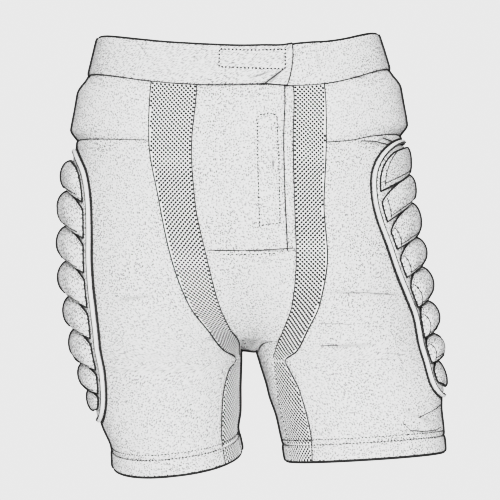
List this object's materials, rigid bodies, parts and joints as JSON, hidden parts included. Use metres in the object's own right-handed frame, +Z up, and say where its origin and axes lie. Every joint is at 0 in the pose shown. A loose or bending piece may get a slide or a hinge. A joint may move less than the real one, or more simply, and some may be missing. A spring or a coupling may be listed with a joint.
{
  "type": "padded hip protection shorts",
  "caption": "Close-fitting sports shorts, held open as if worn, with net front panels, padded hip yokes and a piped, ribbed foam pad over each hip.",
  "frame": {"origin": "middle of the waist opening, level with the top edge of the waistband at the sides", "axes": "+X to the wearer's left, +Y to the wearer's back, +Z up"},
  "size_m": [0.4026, 0.2586, 0.4536],
  "materials": {
    "cloth": "matte",
    "padding": "matte",
    "net": "matte",
    "piping": "satin"
  },
  "bodies": {
    "root": {"waistband": "cloth", "fly_panel": "cloth", "fly_facing": "cloth", "front_panel": "cloth", "seat_panel": "cloth", "gusset": "cloth", "right_inner_thigh_panel": "cloth", "right_leg_panel": "cloth", "right_hem_band": "cloth", "left_inner_thigh_panel": "cloth", "left_leg_panel": "cloth", "left_hem_band": "cloth", "right_front_net": "net", "right_thigh_net": "net", "right_net_hem": "net", "left_front_net": "net", "left_thigh_net": "net", "left_net_hem": "net", "right_yoke": "padding", "right_pad_backing": "padding", "left_yoke": "padding", "left_pad_backing": "padding", "right_rib_1": "padding", "right_rib_2": "padding", "right_rib_3": "padding", "right_rib_4": "padding", "right_rib_5": "padding", "right_rib_6": "padding", "right_rib_7": "padding", "right_rib_8": "padding", "left_rib_1": "padding", "left_rib_2": "padding", "left_rib_3": "padding", "left_rib_4": "padding", "left_rib_5": "padding", "left_rib_6": "padding", "left_rib_7": "padding", "left_rib_8": "padding", "right_piping": "piping", "left_piping": "piping"}
  },
  "joints": []
}
